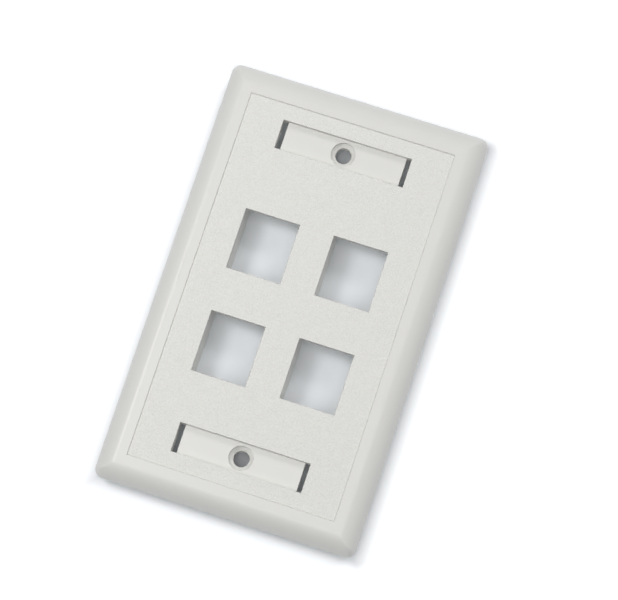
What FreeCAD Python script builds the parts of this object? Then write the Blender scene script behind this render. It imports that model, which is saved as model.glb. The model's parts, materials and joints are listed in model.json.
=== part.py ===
"""Single-gang faceplate for four keystone jacks, moulded in one piece.

The plate lies face up in millimetres. Z is zero on the wall plane, where the rim and the
two screw bosses bear, and points out of the front. Y runs up the plate and X to its right.
The origin is midway between the two mounting screws.
"""
import FreeCAD, Part
import math
import os

from FreeCAD import Vector

# Outer form: a thin dished shell with a bulging bevel all round
PLATE_WIDTH = 70.0
PLATE_HEIGHT = 114.3
FRAME_LEVEL = 5.6        # wall plane to the smooth frame round the panel
SKIRT_HEIGHT = 1.5       # upright edge that meets the wall
BEVEL_WIDTH = 4.6        # plan width of the bevel, from the outer edge to the crease
BEVEL_BULGE = 0.8        # how far the bevel stands out of a straight chamfer
CORNER_RADIUS = 2.4      # plan radius of the outer edge; the crease inside it is mitred
SHELL_WALL = 2.0         # thickness of the bevel and of the front

# Smooth frame inside the crease, and the textured panel set back from it by a fine step
FRAME_WIDTH = 2.6
PANEL_STEP = 0.3

# Mounting screws, each in the middle of a label recess
SCREW_PITCH = 83.34
SCREW_HOLE_RADIUS = 2.1
COUNTERSINK_RADIUS = 3.2
COUNTERSINK_DEPTH = 1.6  # from the recess floor to the plain hole
COUNTERSINK_STEP = 0.9   # upright edge at the countersink's mouth
BOSS_WALL = 1.8

# Label recesses, with a through slot for the label cover's clip at each end
LABEL_WIDTH = 34.9
LABEL_HEIGHT = 7.8
LABEL_DEPTH = 1.5        # from the panel's face to the recess floor
LABEL_FLOOR = 1.6
LABEL_WALL = 1.5
SLOT_WIDTH = 1.35

# Keystone ports: two columns and two rows, a little below the middle of the plate
PORT_COLUMNS = 2
PORT_ROWS = 2
PORT_WIDTH = 14.6
PORT_HEIGHT = 16.3
PORT_PITCH_X = 23.9
PORT_PITCH_Y = 28.1
PORT_DROP = 1.95         # centre of the ports below the centre of the plate
SLEEVE_DEPTH = 9.9       # from the panel's face to the rear end of each sleeve
SLEEVE_WALL = 1.5

# Inside of a port: the jack's spring latch goes above it and its fixed hook below it
LATCH_LIP = 1.7          # from the panel's face to the room behind the upper edge
LATCH_ROOM = 4.0         # height of that room above the port
HOOK_LIP = 6.5           # from the panel's face to the room behind the lower edge
HOOK_ROOM = 2.0          # height of that room below the port
CATCH_OVERHANG = 2.0     # how far each catch reaches over its room
CATCH_THICKNESS = 1.2    # straight edge of each catch
CATCH_LEAD = 1.0         # slope at the catch's rear, which guides the jack in

# Cuts run this far past the faces they open
PAST = 1.0

PANEL_WIDTH = PLATE_WIDTH - 2 * (BEVEL_WIDTH + FRAME_WIDTH)
PANEL_HEIGHT = PLATE_HEIGHT - 2 * (BEVEL_WIDTH + FRAME_WIDTH)
PANEL_LEVEL = FRAME_LEVEL - PANEL_STEP
LABEL_LEVEL = PANEL_LEVEL - LABEL_DEPTH
SLEEVE_END = PANEL_LEVEL - SLEEVE_DEPTH
PORT_TOP = PORT_HEIGHT / 2
PORT_BOTTOM = -PORT_HEIGHT / 2


def block(width, height, low, high, x=0.0, y=0.0):
    """Upright box centred on x, y, from the level low to the level high."""
    corner = Vector(x - width / 2, y - height / 2, low)
    return Part.makeBox(width, height, high - low, corner)


def bevel_curve(inset):
    """Bevel's arc, or the arc that lies inset below it.

    Each point is a distance in from the plate's edge and a level: where the arc leaves
    the skirt, its middle, and the crease where it meets the front.
    """
    rise = FRAME_LEVEL - SKIRT_HEIGHT
    chord = math.hypot(BEVEL_WIDTH, rise)
    outer_radius = chord**2 / (8 * BEVEL_BULGE) + BEVEL_BULGE / 2
    reach = outer_radius - BEVEL_BULGE
    centre_in = BEVEL_WIDTH / 2 + reach * rise / chord
    centre_level = SKIRT_HEIGHT + rise / 2 - reach * BEVEL_WIDTH / chord

    radius = outer_radius - inset
    front = FRAME_LEVEL - inset
    start = (inset, centre_level + math.sqrt(radius**2 - (centre_in - inset)**2))
    end = (centre_in - math.sqrt(radius**2 - (front - centre_level)**2), front)
    angle = (math.atan2(start[1] - centre_level, centre_in - start[0])
             + math.atan2(end[1] - centre_level, centre_in - end[0])) / 2
    middle = (centre_in - radius * math.cos(angle), centre_level + radius * math.sin(angle))
    return start, middle, end


def section(span, inset, base):
    """Face in the XZ plane: the dished slab cut across its whole span."""
    right = [Vector(span / 2 - point_in, 0, level) for point_in, level in bevel_curve(inset)]
    left = [Vector(-point.x, 0, point.z) for point in reversed(right)]
    right_foot = Vector(span / 2 - inset, 0, base)
    left_foot = Vector(inset - span / 2, 0, base)
    edges = [
        Part.LineSegment(left_foot, right_foot),
        Part.LineSegment(right_foot, right[0]),
        Part.Arc(*right),
        Part.LineSegment(right[2], left[0]),
        Part.Arc(*left),
        Part.LineSegment(left[2], left_foot),
    ]
    return Part.Face(Part.Wire([edge.toShape() for edge in edges]))


def dished_slab(inset, base):
    """Slab with the bevel's curve all round, inset from the plate's outer surface.

    The section run up the plate and the section run across it meet in a mitre at each
    corner. The corner's outer part is then rounded: there the section's edge, from the
    corner's centre outwards, is turned about that centre.
    """
    across = section(PLATE_WIDTH, inset, base)
    along = section(PLATE_HEIGHT, inset, base)
    along.rotate(Vector(), Vector(0, 0, 1), 90)
    run_up = across.translated(Vector(0, -PLATE_HEIGHT / 2, 0)).extrude(Vector(0, PLATE_HEIGHT, 0))
    run_across = along.translated(Vector(-PLATE_WIDTH / 2, 0, 0)).extrude(Vector(PLATE_WIDTH, 0, 0))
    slab = run_up.common(run_across)

    centre_x = PLATE_WIDTH / 2 - CORNER_RADIUS
    centre_y = PLATE_HEIGHT / 2 - CORNER_RADIUS
    radius = CORNER_RADIUS - inset
    outside = block(radius, 2 * PAST, base, FRAME_LEVEL, centre_x + radius / 2)
    edge = across.common(outside).Faces[0]
    button = edge.revolve(Vector(centre_x, 0, 0), Vector(0, 0, 1), 360)
    button.translate(Vector(-centre_x, 0, 0))
    for side in (-1, 1):
        for end in (-1, 1):
            centre = Vector(side * centre_x, end * centre_y, 0)
            corner = block(radius, radius, base - PAST, FRAME_LEVEL,
                           centre.x + side * radius / 2, centre.y + end * radius / 2)
            slab = slab.cut(corner.cut(button.translated(centre)))
    return slab.removeSplitter()


def port_centres():
    """Centre of each port, row by row from the lower left."""
    centres = []
    for row in range(PORT_ROWS):
        for column in range(PORT_COLUMNS):
            x = (column - (PORT_COLUMNS - 1) / 2) * PORT_PITCH_X
            y = (row - (PORT_ROWS - 1) / 2) * PORT_PITCH_Y - PORT_DROP
            centres.append((x, y))
    return centres


def screw_centres():
    """Centre of each mounting screw, which is also the centre of its label recess."""
    return [(0.0, -SCREW_PITCH / 2), (0.0, SCREW_PITCH / 2)]


def sleeve(x, y):
    """Outside of one port's sleeve, with room for the latch above and the hook below."""
    top = PORT_TOP + LATCH_ROOM + SLEEVE_WALL
    bottom = PORT_BOTTOM - HOOK_ROOM - SLEEVE_WALL
    width = PORT_WIDTH + 2 * SLEEVE_WALL
    return block(width, top - bottom, SLEEVE_END, PANEL_LEVEL, x, y + (top + bottom) / 2)


def port_space(x, y):
    """Space inside one port, drawn from the side and run across the port's width."""
    latch_top = PORT_TOP + LATCH_ROOM
    hook_bottom = PORT_BOTTOM - HOOK_ROOM
    latch_catch = latch_top - CATCH_OVERHANG
    hook_catch = hook_bottom + CATCH_OVERHANG
    latch_level = PANEL_LEVEL - LATCH_LIP
    hook_level = PANEL_LEVEL - HOOK_LIP
    tip_level = SLEEVE_END + CATCH_LEAD
    ledge_level = tip_level + CATCH_THICKNESS
    outline = [
        (PORT_BOTTOM, FRAME_LEVEL + PAST),
        (PORT_TOP, FRAME_LEVEL + PAST),
        (PORT_TOP, latch_level),
        (latch_top, latch_level),
        (latch_top, ledge_level),
        (latch_catch, ledge_level),
        (latch_catch, tip_level),
        (latch_catch + CATCH_LEAD, SLEEVE_END),
        (latch_catch + CATCH_LEAD, SLEEVE_END - PAST),
        (hook_catch - CATCH_LEAD, SLEEVE_END - PAST),
        (hook_catch - CATCH_LEAD, SLEEVE_END),
        (hook_catch, tip_level),
        (hook_catch, ledge_level),
        (hook_bottom, ledge_level),
        (hook_bottom, hook_level),
        (PORT_BOTTOM, hook_level),
    ]
    points = [Vector(x - PORT_WIDTH / 2, y + up, level) for up, level in outline]
    side = Part.Face(Part.makePolygon(points + points[:1]))
    return side.extrude(Vector(PORT_WIDTH, 0, 0))


def label_tray(x, y):
    """Floor and walls of one label recess, with the screw's boss down to the wall plane."""
    tray = block(LABEL_WIDTH + 2 * LABEL_WALL, LABEL_HEIGHT + 2 * LABEL_WALL,
                 LABEL_LEVEL - LABEL_FLOOR, PANEL_LEVEL, x, y)
    boss = Part.makeCylinder(SCREW_HOLE_RADIUS + BOSS_WALL, LABEL_LEVEL, Vector(x, y, 0))
    return [tray, boss]


def label_space(x, y):
    """Label recess, its two end slots and the countersunk screw hole."""
    recess = block(LABEL_WIDTH, LABEL_HEIGHT, LABEL_LEVEL, FRAME_LEVEL + PAST, x, y)
    slot_x = (LABEL_WIDTH - SLOT_WIDTH) / 2
    slots = [block(SLOT_WIDTH, LABEL_HEIGHT, -PAST, FRAME_LEVEL, x + side * slot_x, y)
             for side in (-1, 1)]
    hole = Part.makeCylinder(SCREW_HOLE_RADIUS, FRAME_LEVEL + PAST, Vector(x, y, -PAST))
    mouth = Part.makeCylinder(COUNTERSINK_RADIUS, COUNTERSINK_STEP + PAST,
                              Vector(x, y, LABEL_LEVEL - COUNTERSINK_STEP))
    countersink = Part.makeCone(SCREW_HOLE_RADIUS, COUNTERSINK_RADIUS,
                                COUNTERSINK_DEPTH - COUNTERSINK_STEP,
                                Vector(x, y, LABEL_LEVEL - COUNTERSINK_DEPTH))
    return [recess, *slots, hole, mouth, countersink]


def faceplate():
    """The whole moulding."""
    shell = dished_slab(0.0, 0.0).cut(dished_slab(SHELL_WALL, -PAST))
    solids = []
    spaces = [block(PANEL_WIDTH, PANEL_HEIGHT, PANEL_LEVEL, FRAME_LEVEL + PAST)]
    for x, y in port_centres():
        solids.append(sleeve(x, y))
        spaces.append(port_space(x, y))
    for x, y in screw_centres():
        solids += label_tray(x, y)
        spaces += label_space(x, y)
    return shell.fuse(solids).cut(spaces).removeSplitter()


os.makedirs("parts", exist_ok=True)
plate = faceplate()
plate.exportStep("parts/faceplate.step")
print("faceplate:", len(plate.Solids), "solid,", plate.isValid(),
      round(plate.Volume, 1), "mm3", plate.BoundBox)
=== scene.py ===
"""Keystone faceplate for four jacks: its moulded finish, the floor, the light and the camera.

Lengths are in metres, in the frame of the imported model. Z is zero on the wall plane and
points out of the front, Y runs up the plate and X to its right.
"""
import json
import math

import bmesh
import bpy
import numpy as np
from bpy.props import FloatProperty, FloatVectorProperty, IntProperty, PointerProperty
from mathutils import Matrix, Vector


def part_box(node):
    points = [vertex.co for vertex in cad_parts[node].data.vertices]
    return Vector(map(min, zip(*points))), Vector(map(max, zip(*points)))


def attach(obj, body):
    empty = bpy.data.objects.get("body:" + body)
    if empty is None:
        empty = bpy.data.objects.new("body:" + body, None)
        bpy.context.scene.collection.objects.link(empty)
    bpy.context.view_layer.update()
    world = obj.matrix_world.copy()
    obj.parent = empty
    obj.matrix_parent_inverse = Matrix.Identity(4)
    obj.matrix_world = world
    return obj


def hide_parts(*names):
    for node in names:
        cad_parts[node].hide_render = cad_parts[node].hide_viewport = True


bl_info = {
    "name": "Keystone Faceplate",
    "version": (1, 0, 0),
    "blender": (4, 5, 0),
    "location": "3D View > Sidebar > Faceplate",
    "description": "Four-port keystone faceplate with a grained panel and label recesses",
    "category": "Add Mesh",
}

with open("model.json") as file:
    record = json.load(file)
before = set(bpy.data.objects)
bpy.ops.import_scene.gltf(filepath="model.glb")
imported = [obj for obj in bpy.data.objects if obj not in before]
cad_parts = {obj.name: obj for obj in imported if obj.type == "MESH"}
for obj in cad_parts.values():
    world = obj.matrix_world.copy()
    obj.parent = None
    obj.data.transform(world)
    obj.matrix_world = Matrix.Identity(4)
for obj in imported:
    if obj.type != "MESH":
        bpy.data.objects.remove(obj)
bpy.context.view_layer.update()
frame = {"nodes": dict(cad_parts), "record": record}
LOWEST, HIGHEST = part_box("faceplate")
MM = 0.001

SAME_POINT = 0.002 * MM         # points nearer than this count as one
SHORT_EDGE = 0.001 * MM         # edges shorter than this are taken out
FLAT_TURN = math.radians(0.3)   # faces that meet at less than this are joined
SHARP_TURN = math.radians(28)   # outward edges over this are rounded, inward ones stay sharp


def length(name, description, default, precision=5):
    """Length property in metres."""
    return FloatProperty(name=name, description=description, default=default, min=0.0,
                         precision=precision, unit="LENGTH")


def share(name, description, default):
    """Property from 0 to 1."""
    return FloatProperty(name=name, description=description, default=default, min=0.0,
                         max=1.0, precision=3, subtype="FACTOR")


def colour(name, description, default):
    """Linear colour property."""
    return FloatVectorProperty(name=name, description=description, default=default,
                               min=0.0, max=1.0, size=3, subtype="COLOR")


def angle(name, description, default):
    """Angle property, given in degrees."""
    return FloatProperty(name=name, description=description, default=math.radians(default),
                         subtype="ANGLE")


def power(name, description, default):
    """Lamp power in watts."""
    return FloatProperty(name=name, description=description, default=default, min=0.0,
                         unit="POWER")


class FaceplateShape(bpy.types.PropertyGroup):
    """Sizes of the rim, the label recesses and the screw holes."""

    corner_radius: length("Corner radius", "Plan radius of the outer edge", 2.4 * MM)
    bevel_width: length("Bevel width", "Outer edge to the crease", 4.6 * MM)
    bevel_bulge: length("Bevel bulge", "Rise of the bevel's arc over its chord", 0.8 * MM)
    skirt_height: length("Skirt height", "Upright edge that meets the wall", 1.5 * MM)
    wall: length("Wall", "Thickness of the bevel and of the front", 2.0 * MM)
    frame_width: length("Frame width", "Smooth frame between crease and panel", 2.6 * MM)
    panel_step: length("Panel step", "How far the panel is set back", 0.3 * MM)
    crease_softness: length("Crease softness", "Least reach of the crease's rounding down the bevel",
                            0.5 * MM)
    lip_softness: length("Lip softness", "Rounding of the frame's inner edge", 0.04 * MM)
    foot_softness: length("Foot softness", "Rounding of the edges at the wall", 0.15 * MM)
    edge_radius: length("Edge radius", "Rounding of ports, recesses and slots", 0.11 * MM)
    recess_width: length("Recess width", "Label recess between its two slots", 32.2 * MM)
    recess_height: length("Recess height", "Label recess up the plate", 7.8 * MM)
    hole_radius: length("Hole radius", "Screw hole", 2.1 * MM)
    sink_radius: length("Countersink radius", "Countersink at the recess floor", 3.2 * MM)
    sink_depth: length("Countersink depth", "Recess floor to the hole's edge", 1.6 * MM)
    sink_step: length("Countersink step", "Upright edge at the countersink's mouth", 0.9 * MM)
    arc_steps: IntProperty(name="Arc steps", description="Facets across the bevel",
                           default=28, min=4, max=96)
    corner_steps: IntProperty(name="Corner steps", description="Facets round each corner",
                              default=24, min=4, max=96)
    bend_steps: IntProperty(name="Bend steps", description="Facets round each softened edge",
                            default=5, min=1, max=24)


class FaceplateFinish(bpy.types.PropertyGroup):
    """Colour, gloss and grain of the plastic."""

    plastic: colour("Plastic", "Colour of the plastic", (0.742, 0.739, 0.708))
    frame_roughness: share("Frame roughness", "Roughness of the smooth faces", 0.36)
    panel_roughness: share("Panel roughness", "Roughness of the grained panel", 0.42)
    grain_size: length("Grain size", "Width of one cell of the grain", 0.4 * MM)
    grain_depth: length("Grain depth", "Depth of the grain", 0.15 * MM, 7)
    pore_size: length("Pore size", "Width of the fine pores in the grain", 0.22 * MM)
    pore_depth: length("Pore depth", "Depth of the fine pores", 0.05 * MM, 7)
    # painted shade in the grain's valleys: the tops of the cells are painted this much lighter
    grain_painted_shade: share("Grain light", "How much lighter the tops of the grain are", 0.08)


class FaceplateStage(bpy.types.PropertyGroup):
    """Floor, light and camera."""

    floor: colour("Floor", "Colour of the floor", (0.805, 0.83, 0.858))
    # painted light: the glow whitens the floor and paints over the outer part of the plate's shadow
    floor_glow: share("Floor glow", "White that the camera sees added to the floor", 0.5)
    ambient: share("Ambient", "Strength of the light from all round", 0.19)
    overhead: power("Overhead lamp", "Power of the wide lamp above the plate", 23.0)
    left: power("Left lamp", "Power of the small lamp near the left side", 0.71)
    far: power("Far lamp", "Power of the low lamp beyond the upper right corner", 2.7)
    azimuth: angle("Azimuth", "Turn of the camera round the plate", 31.59)
    elevation: angle("Elevation", "Camera's height over the plate's plane", 78.58)
    roll: angle("Roll", "Turn of the camera about its own axis", -13.53)
    distance: length("Distance", "Camera to the point that it looks at", 0.72738)
    aim: FloatVectorProperty(name="Aim", description="Point that the camera looks at",
                             default=(3.772 * MM, 2.288 * MM, 5.3 * MM), unit="LENGTH")
    lens: FloatProperty(name="Lens", description="Focal length in millimetres",
                        default=165.39, min=10.0)


# ---------------------------------------------------------------- shader maths

class Wire:
    """A socket in a node tree. Arithmetic on wires adds the Math nodes that work it out."""

    def __init__(self, tree, socket=None):
        self.tree = tree
        self.socket = socket

    def add(self, kind, settings=None, inputs=None, output=0):
        """New node of a kind: its settings are set first, then its sockets' values or links."""
        node = self.tree.nodes.new(kind)
        for name, value in (settings or {}).items():
            setattr(node, name, value)
        for name, value in (inputs or {}).items():
            if isinstance(value, Wire):
                self.tree.links.new(value.socket, node.inputs[name])
            else:
                node.inputs[name].default_value = value
        return Wire(self.tree, node.outputs[output]) if len(node.outputs) else None

    def maths(self, operation, *values):
        """Math node on this wire and the values after it."""
        return self.add("ShaderNodeMath", {"operation": operation},
                        dict(enumerate((self, *values))))

    def __add__(self, other):
        return self.maths("ADD", other)

    def __sub__(self, other):
        return self.maths("SUBTRACT", other)

    def __rsub__(self, other):
        return (self * -1.0) + other

    def __mul__(self, other):
        return self.maths("MULTIPLY", other)

    __radd__ = __add__
    __rmul__ = __mul__

    def size(self):
        """Value without its sign."""
        return self.maths("ABSOLUTE")

    def least(self, other):
        """The lesser of two values."""
        return self.maths("MINIMUM", other)

    def most(self, other):
        """The greater of two values."""
        return self.maths("MAXIMUM", other)

    def ramp(self, low, high):
        """0 below low and 1 above high, with a smooth rise between them."""
        return self.add("ShaderNodeMapRange", {"interpolation_type": "SMOOTHSTEP"},
                        {"Value": self, "From Min": low, "From Max": high})


def cleared(owner):
    """Wire with no socket yet, in the emptied node tree of a material or world."""
    owner.use_nodes = True
    owner.node_tree.nodes.clear()
    return Wire(owner.node_tree)


# ---------------------------------------------------------------- surfaces

def softened(points, cuts, steps):
    """Polyline with its corners rounded.

    Corner P is cut back by a distance along both of its sides, to A and B, and replaced by
    the parabola (1-t)^2 A + 2t(1-t) P + t^2 B. A cut of zero leaves the corner as it is.
    """
    before = points[:-2] - points[1:-1]
    after = points[2:] - points[1:-1]
    cuts = np.asarray(cuts)[:, None]
    start = points[1:-1] + cuts * before / np.linalg.norm(before, axis=1, keepdims=True)
    stop = points[1:-1] + cuts * after / np.linalg.norm(after, axis=1, keepdims=True)
    t = np.linspace(0, 1, steps + 1)[None, :, None]
    bends = ((1 - t)**2 * start[:, None] + 2 * t * (1 - t) * points[1:-1, None]
             + t**2 * stop[:, None])
    return np.vstack([points[:1], bends.reshape(-1, 2), points[-1:]])


def bevel_arc(shape, depth):
    """Bevel's arc, or the concentric arc that lies depth below it, as (inset, level) rows.

    The outer arc rises from the skirt to the crease, and its chord and bulge give its
    radius: chord^2 / (8 bulge) + bulge / 2. The inner one has that radius less the depth
    and ends where it meets a level and an inset that are deeper by the same amount.
    """
    rise = HIGHEST.z - shape.skirt_height
    chord = math.hypot(shape.bevel_width, rise)
    radius = chord**2 / (8 * shape.bevel_bulge) + shape.bevel_bulge / 2
    reach = radius - shape.bevel_bulge
    centre = np.array([shape.bevel_width / 2 + reach * rise / chord,
                       shape.skirt_height + rise / 2 - reach * shape.bevel_width / chord])
    radius -= depth
    first = math.acos((centre[0] - depth) / radius)
    last = math.asin((HIGHEST.z - depth - centre[1]) / radius)
    turn = np.linspace(first, last, shape.arc_steps + 1)
    return centre + radius * np.column_stack([-np.cos(turn), np.sin(turn)])


def rim_profile(shape):
    """Section of the rim as (inset, level) rows.

    It runs from the panel's edge up the fine step, over the frame, the crease and the
    bevel's arc, down the skirt, under the foot and back up inside to the underside. The
    crease's rounding takes the place of the arc's points nearest it. Its corner lies where
    the arc's direction at the first point that stays meets the frame, and both of its
    sides are cut back by the distance from that corner to that point.
    """
    top = HIGHEST.z
    panel = shape.bevel_width + shape.frame_width
    outer = bevel_arc(shape, 0.0)[::-1]
    leave, *outer = outer[np.linalg.norm(outer - outer[0], axis=1) > shape.crease_softness]
    crease = leave + (leave - outer[0]) * (top - leave[1]) / (leave[1] - outer[0][1])
    inner = bevel_arc(shape, shape.wall)
    corners = [(panel, top - shape.panel_step), (panel, top), crease, *outer, (0.0, 0.0),
               (shape.wall, 0.0), *inner]
    cuts = np.zeros(len(corners) - 2)
    cuts[0] = shape.lip_softness
    cuts[1] = np.linalg.norm(crease - leave)
    foot = 2 + len(outer)
    cuts[foot:foot + 2] = shape.foot_softness
    return softened(np.array(corners), cuts, shape.bend_steps)


def rim_surface(shape):
    """Rim as a grid of points, one row for each profile point, and its quads.

    A profile point with inset d runs round the plate on the outline that lies d inside
    the edge. With corner radius R, each corner is an arc of radius max(R - d, 0) whose
    centre is max(R, d) in from both sides, so the outline is mitred where d exceeds R.
    """
    inset, level = rim_profile(shape).T[:, :, None]
    turn = np.linspace(0, math.pi / 2, shape.corner_steps + 1)
    bearing = np.concatenate([turn + quarter * math.pi / 2 for quarter in range(4)])
    side = np.repeat([(1, 1), (-1, 1), (-1, -1), (1, -1)], len(turn), axis=0).T
    middle = np.maximum(shape.corner_radius, inset)
    radius = np.maximum(shape.corner_radius - inset, 0.0)
    x = side[0] * (HIGHEST.x - middle) + radius * np.cos(bearing)
    y = side[1] * (HIGHEST.y - middle) + radius * np.sin(bearing)
    return grid_quads(np.stack([x, y, np.broadcast_to(level, x.shape)], axis=-1))


def screw_surface(shape, recess, foot):
    """Floor of one label recess with its countersunk hole, as a grid of points and quads.

    A profile of radius and level is turned about the screw's axis. Its angles are those of
    the foot, the ring of points at the hole's rear edge, with one more in each gap. The
    first row is the recess floor's four corners, each repeated over its own quarter, and
    the last is the foot's points, each repeated once, so that both ends close exactly.
    """
    around = np.arctan2(foot[:, 1] - recess.y, foot[:, 0] - recess.x)
    foot = np.repeat(foot[np.argsort(around)], 2, axis=0)
    around = np.sort(around)
    gap = np.roll(around, -1) - around
    gap[-1] += 2 * math.pi
    around = np.column_stack([around, around + gap / 2]).ravel()

    ledge, above_foot = 4 * shape.edge_radius, 2 * shape.edge_radius
    mouth_cut, throat_cut = 0.6 * shape.edge_radius, 0.8 * shape.edge_radius
    profile = softened(np.array([
        (shape.sink_radius + ledge, recess.z), (shape.sink_radius, recess.z),
        (shape.sink_radius, recess.z - shape.sink_step),
        (shape.hole_radius, recess.z - shape.sink_depth), (shape.hole_radius, above_foot)]),
        (mouth_cut, 0.0, throat_cut), shape.bend_steps)
    radius, level = profile.T[:, :, None]
    x = recess.x + radius * np.cos(around)
    y = recess.y + radius * np.sin(around)
    turned = np.stack([x, y, np.broadcast_to(level, x.shape)], axis=-1)
    corners = np.column_stack([
        recess.x + np.sign(np.cos(around)) * shape.recess_width / 2,
        recess.y + np.sign(np.sin(around)) * shape.recess_height / 2,
        np.full_like(around, recess.z)])
    return grid_quads(np.concatenate([corners[None], turned, foot[None]]))


def grid_quads(points):
    """Points of a grid as rows, and its quads, closed from the last column to the first."""
    rows, columns, _ = points.shape
    index = np.arange(rows * columns).reshape(rows, columns)
    beyond = np.roll(index, -1, axis=1)
    quads = np.stack([index[:-1], index[1:], beyond[1:], beyond[:-1]], axis=-1)
    return points.reshape(-1, 3), quads.reshape(-1, 4)


def core_surface(shape, recesses):
    """Packed moulding's points and triangles, without what new surfaces stand for.

    Left out is every triangle that reaches above the panel or outside the crease of the
    underside, that lies in a recess floor, or that lies inside a countersunk hole. The
    third result is the ring of points at the rear edge of each screw hole.
    """
    mesh = frame["nodes"]["faceplate"].data
    points = np.empty(len(mesh.vertices) * 3)
    mesh.vertices.foreach_get("co", points)
    points = points.reshape(-1, 3)
    corners = np.empty(len(mesh.loops), dtype=int)
    mesh.loops.foreach_get("vertex_index", corners)
    triangles = corners.reshape(-1, 3)

    slack = 0.02 * MM
    crease = bevel_arc(shape, shape.wall)[-1, 0] - slack
    outside = ((np.abs(points[:, 0]) > HIGHEST.x - crease)
               | (np.abs(points[:, 1]) > HIGHEST.y - crease)
               | (points[:, 2] > HIGHEST.z - shape.panel_step + slack))
    dropped = outside[triangles].any(axis=1)
    feet = []
    for recess in recesses:
        level = np.abs(points[:, 2] - recess.z) < slack
        reach = np.hypot(points[:, 0] - recess.x, points[:, 1] - recess.y)
        bored = reach < shape.sink_radius + slack
        dropped |= level[triangles].all(axis=1) | bored[triangles].all(axis=1)
        ring = points[(reach < shape.hole_radius + slack) & (np.abs(points[:, 2]) < slack)]
        feet.append(np.unique(ring, axis=0))
    return points, triangles[~dropped], feet


def on_mitre(edge, shape):
    """Whether an edge of the rim lies on a corner's mitre, equally far in from both sides."""
    insets = [(HIGHEST.x - abs(v.co.x), HIGHEST.y - abs(v.co.y)) for v in edge.verts]
    return all(abs(x - y) < SAME_POINT and x > shape.corner_radius for x, y in insets)


def moulding_mesh(name, shape):
    """Core, rim and screw holes as one closed mesh, ready for its edges to be rounded.

    Sharp edges that stand out are weighted for the rounding. Those that turn inwards stay
    sharp, and so do the rim's mitres, which would bend the shade of the long sides.
    """
    recesses = [Vector(mount["pos_m"]) for mount in frame["record"]["mounts"]
                if mount["name"].endswith("label_recess")]
    core, triangles, feet = core_surface(shape, recesses)
    surfaces = [(core, triangles), rim_surface(shape)]
    surfaces += [screw_surface(shape, *pair) for pair in zip(recesses, feet)]
    starts = np.cumsum([0] + [len(points) for points, _ in surfaces])
    mesh = bpy.data.meshes.new(name)
    mesh.from_pydata(np.vstack([points for points, _ in surfaces]), [],
                     [face for (_, faces), start in zip(surfaces, starts)
                      for face in (faces + start).tolist()])
    form = bmesh.new()
    form.from_mesh(mesh)
    bmesh.ops.delete(form, geom=[v for v in form.verts if not v.link_faces], context="VERTS")
    bmesh.ops.remove_doubles(form, verts=form.verts, dist=SAME_POINT)
    bmesh.ops.dissolve_degenerate(form, edges=form.edges, dist=SHORT_EDGE)
    bmesh.ops.dissolve_limit(form, angle_limit=FLAT_TURN, verts=form.verts, edges=form.edges)
    bmesh.ops.recalc_face_normals(form, faces=form.faces)
    gaps = sum(len(edge.link_faces) != 2 for edge in form.edges)
    if gaps:
        raise RuntimeError(f"{name} has {gaps} open edges")
    weight = form.edges.layers.float.new("bevel_weight_edge")
    for edge in form.edges:
        turn = edge.calc_face_angle_signed()
        edge[weight] = float(turn > SHARP_TURN)
        edge.smooth = turn > -SHARP_TURN and not on_mitre(edge, shape)
    form.to_mesh(mesh)
    form.free()
    mesh.shade_smooth()
    return mesh


# ---------------------------------------------------------------- finishes

def moulded_plastic(name, finish, shape):
    """Satin white plastic, smooth but for the grain on the face of the panel.

    The grain is soft cells with fine pores, both swayed out of line by a wider noise. Its
    valleys get painted shade: the tops of the cells are painted a little lighter.
    """
    material = bpy.data.materials.new(name)
    wires = cleared(material)
    place = wires.add("ShaderNodeTexCoord", output="Object")
    x, y, z = (wires.add("ShaderNodeSeparateXYZ", inputs={0: place}, output=axis)
               for axis in range(3))

    margin = shape.bevel_width + shape.frame_width
    fade = 0.25 * MM
    same_level, other_level = 0.02 * MM, 0.1 * MM
    inside = ((HIGHEST.x - margin) - x.size()).least((HIGHEST.y - margin) - y.size())
    off_level = (z - (HIGHEST.z - shape.panel_step)).size()
    panel = inside.ramp(0.0, fade) * (1 - off_level.ramp(same_level, other_level))

    sways_per_metre, sway_reach = 260.0, 0.9 * MM
    octaves, cell_softness = 2.0, 0.7
    sway = wires.add("ShaderNodeTexNoise", inputs={"Vector": place, "Detail": octaves,
                                                   "Scale": sways_per_metre}, output="Color")
    swayed = wires.add("ShaderNodeVectorMath", {"operation": "MULTIPLY_ADD"},
                       {0: sway, 1: (sway_reach,) * 3, 2: place})
    cells = wires.add("ShaderNodeTexVoronoi", {"feature": "SMOOTH_F1"},
                      {"Vector": swayed, "Scale": 1 / finish.grain_size,
                       "Smoothness": cell_softness})
    pores = wires.add("ShaderNodeTexNoise", inputs={"Vector": swayed, "Detail": octaves,
                                                    "Scale": 1 / finish.pore_size})
    grain = (1 - cells) * finish.grain_depth + pores * finish.pore_depth
    # Painted shade in the grain's valleys: the plain colour stays in them and the tops of the cells
    # are painted lighter
    shade_fade_start, shade_fade_end = 0.75, 1.35
    tops = panel * (1 - cells + pores).ramp(shade_fade_start, shade_fade_end)
    lighter = [value * (1 + finish.grain_painted_shade) for value in finish.plastic]
    painted_shade_colour = wires.add("ShaderNodeMix", {"data_type": "RGBA"},
                     {0: tops, 6: (*finish.plastic, 1.0), 7: (*lighter, 1.0)}, output=2)

    bump = wires.add("ShaderNodeBump", inputs={"Strength": 1.0, "Distance": 1.0,
                                               "Height": grain * panel})
    roughness = (panel * (finish.panel_roughness - finish.frame_roughness)
                 + finish.frame_roughness)
    shader = wires.add("ShaderNodeBsdfPrincipled", inputs={
        "Base Color": painted_shade_colour, "Roughness": roughness, "Normal": bump, "IOR": 1.5})
    wires.add("ShaderNodeOutputMaterial", inputs={"Surface": shader})
    return material


def seen_rays(wires):
    """1 for the rays by which a surface is seen: straight, mirrored or through glass."""
    rays = [wires.add("ShaderNodeLightPath", output=name)
            for name in ("Is Camera Ray", "Is Glossy Ray", "Is Transmission Ray")]
    return rays[0].most(rays[1]).most(rays[2])


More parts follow.
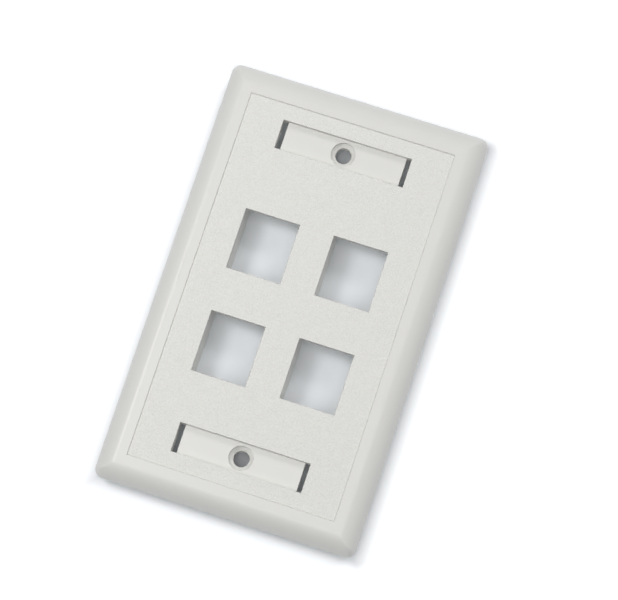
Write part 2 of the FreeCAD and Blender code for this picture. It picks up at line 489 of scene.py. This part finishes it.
def floor_finish(name, stage):
    """Matt pale floor with a white glow that only seen_rays meet: painted light round the plate."""
    material = bpy.data.materials.new(name)
    wires = cleared(material)
    place = wires.add("ShaderNodeTexCoord", output="Object")
    x, y = (wires.add("ShaderNodeSeparateXYZ", inputs={0: place}, output=axis)
            for axis in range(2))
    off_plate = (x.size() - HIGHEST.x).most(y.size() - HIGHEST.y)
    # Painted light: the glow rises from nothing under the plate's edge to full clear of it, painting
    # white over the outer part of the plate's shadow
    under_plate, clear_of_plate = -3 * MM, 5 * MM
    seen = seen_rays(wires) * off_plate.ramp(under_plate, clear_of_plate)
    matt = wires.add("ShaderNodeBsdfDiffuse", inputs={"Color": (*stage.floor, 1.0)})
    white = wires.add("ShaderNodeEmission", inputs={"Strength": 1.0})
    glow = wires.add("ShaderNodeMixShader", inputs={0: seen * stage.floor_glow, 2: white})
    both = wires.add("ShaderNodeAddShader", inputs={0: matt, 1: glow})
    wires.add("ShaderNodeOutputMaterial", inputs={"Surface": both})
    return material


# ---------------------------------------------------------------- operators

class FACEPLATE_OT_moulding(bpy.types.Operator):
    """Make the moulding, with its edges rounded and its finish on it"""

    bl_idname = "faceplate.moulding"
    bl_label = "Make Moulding"
    bl_options = {"REGISTER", "UNDO"}

    def execute(self, context):
        shape = context.scene.faceplate_shape
        finish = context.scene.faceplate_finish
        moulding = bpy.data.objects.new("moulding", moulding_mesh("moulding", shape))
        context.scene.collection.objects.link(moulding)
        moulding.data.materials.append(moulded_plastic("moulded plastic", finish, shape))
        rounding = moulding.modifiers.new("Rounded edges", "BEVEL")
        rounding.limit_method = "WEIGHT"
        rounding.width = shape.edge_radius
        rounding.segments = 2
        rounding.use_clamp_overlap = True
        shading = moulding.modifiers.new("Flat faces stay flat", "WEIGHTED_NORMAL")
        shading.keep_sharp = True
        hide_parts("faceplate")
        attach(moulding, "root")
        return {"FINISHED"}


class FACEPLATE_OT_stage(bpy.types.Operator):
    """Make the floor, the light and the camera"""

    bl_idname = "faceplate.stage"
    bl_label = "Make Stage"
    bl_options = {"REGISTER", "UNDO"}

    def execute(self, context):
        scene = context.scene
        stage = scene.faceplate_stage
        scene.view_settings.view_transform = "Standard"
        self.lay_floor(scene, stage)
        self.light(scene, stage)
        self.place_camera(scene, stage)
        return {"FINISHED"}

    def lay_floor(self, scene, stage):
        """Flat square grid at the level of the sleeves' ends."""
        half_side, squares = 4.0, 8
        line = np.linspace(-half_side, half_side, squares + 1)
        x, y = np.meshgrid(line, line)
        points = np.stack([x, y, np.full_like(x, LOWEST.z)], axis=-1).reshape(-1, 3)
        index = np.arange(x.size).reshape(x.shape)
        quads = np.stack([index[:-1, :-1], index[:-1, 1:], index[1:, 1:], index[1:, :-1]],
                         axis=-1).reshape(-1, 4)
        mesh = bpy.data.meshes.new("floor")
        mesh.from_pydata(points, [], quads.tolist())
        mesh.materials.append(floor_finish("matt floor", stage))
        floor = bpy.data.objects.new("floor", mesh)
        scene.collection.objects.link(floor)

    def light(self, scene, stage):
        """Even light from all round, a wide soft lamp overhead and two smaller ones.

        A lamp's turn round the plate, from the plate's right side, and its rise over the
        plate's plane are in degrees, and its distance from the middle and size in metres.
        """
        world = bpy.data.worlds.new("studio")
        scene.world = world
        wires = cleared(world)
        dim = wires.add("ShaderNodeBackground", inputs={"Strength": stage.ambient})
        white = wires.add("ShaderNodeBackground", inputs={"Strength": 1.0})
        both = wires.add("ShaderNodeMixShader", inputs={0: seen_rays(wires), 1: dim, 2: white})
        wires.add("ShaderNodeOutputWorld", inputs={"Surface": both})

        for name, watts, turn, rise, distance, size in (
                ("overhead", stage.overhead, 270, 77, 2.4, 2.0),
                ("left", stage.left, 176, 62, 0.5, 0.16),
                ("far", stage.far, 60, 40, 1.0, 0.4)):
            lamp = bpy.data.lights.new(name, "AREA")
            lamp.shape = "DISK"
            lamp.size = size
            lamp.energy = watts
            holder = bpy.data.objects.new(name, lamp)
            facing = (Matrix.Rotation(math.radians(turn), 4, "Z")
                      @ Matrix.Rotation(math.radians(90 - rise), 4, "Y"))
            holder.matrix_world = facing @ Matrix.Translation((0.0, 0.0, distance))
            holder.visible_camera = False
            scene.collection.objects.link(holder)

    def place_camera(self, scene, stage):
        """Camera turned round the plate, raised over it and rolled about its own axis."""
        lens = bpy.data.cameras.new("camera")
        lens.lens = stage.lens
        lens.sensor_width = 36.0
        camera = bpy.data.objects.new("camera", lens)
        scene.collection.objects.link(camera)
        turn = (Matrix.Rotation(stage.azimuth, 4, "Z")
                @ Matrix.Rotation(math.pi / 2 - stage.elevation, 4, "X")
                @ Matrix.Rotation(stage.roll, 4, "Z"))
        camera.matrix_world = (Matrix.Translation(Vector(stage.aim)) @ turn
                               @ Matrix.Translation((0.0, 0.0, stage.distance)))
        lens.clip_start = 0.05
        lens.clip_end = 50.0
        scene.camera = camera


class FACEPLATE_PT_sidebar(bpy.types.Panel):
    """Sizes, finish and stage of the faceplate"""

    bl_idname = "FACEPLATE_PT_sidebar"
    bl_label = "Keystone Faceplate"
    bl_space_type = "VIEW_3D"
    bl_region_type = "UI"
    bl_category = "Faceplate"

    def draw(self, context):
        groups = (("Shape", context.scene.faceplate_shape, "faceplate.moulding"),
                  ("Finish", context.scene.faceplate_finish, None),
                  ("Stage", context.scene.faceplate_stage, "faceplate.stage"))
        for title, group, operator in groups:
            box = self.layout.box()
            box.label(text=title)
            for name in group.__annotations__:
                box.prop(group, name)
            if operator:
                box.operator(operator)


GROUPS = {"faceplate_shape": FaceplateShape, "faceplate_finish": FaceplateFinish,
          "faceplate_stage": FaceplateStage}
CLASSES = (*GROUPS.values(), FACEPLATE_OT_moulding, FACEPLATE_OT_stage, FACEPLATE_PT_sidebar)


def register():
    for cls in CLASSES:
        bpy.utils.register_class(cls)
    for name, group in GROUPS.items():
        setattr(bpy.types.Scene, name, PointerProperty(type=group))


def unregister():
    for name in GROUPS:
        delattr(bpy.types.Scene, name)
    for cls in reversed(CLASSES):
        bpy.utils.unregister_class(cls)


def main():
    register()
    bpy.ops.faceplate.moulding()
    bpy.ops.faceplate.stage()


if __name__ == "__main__":
    main()
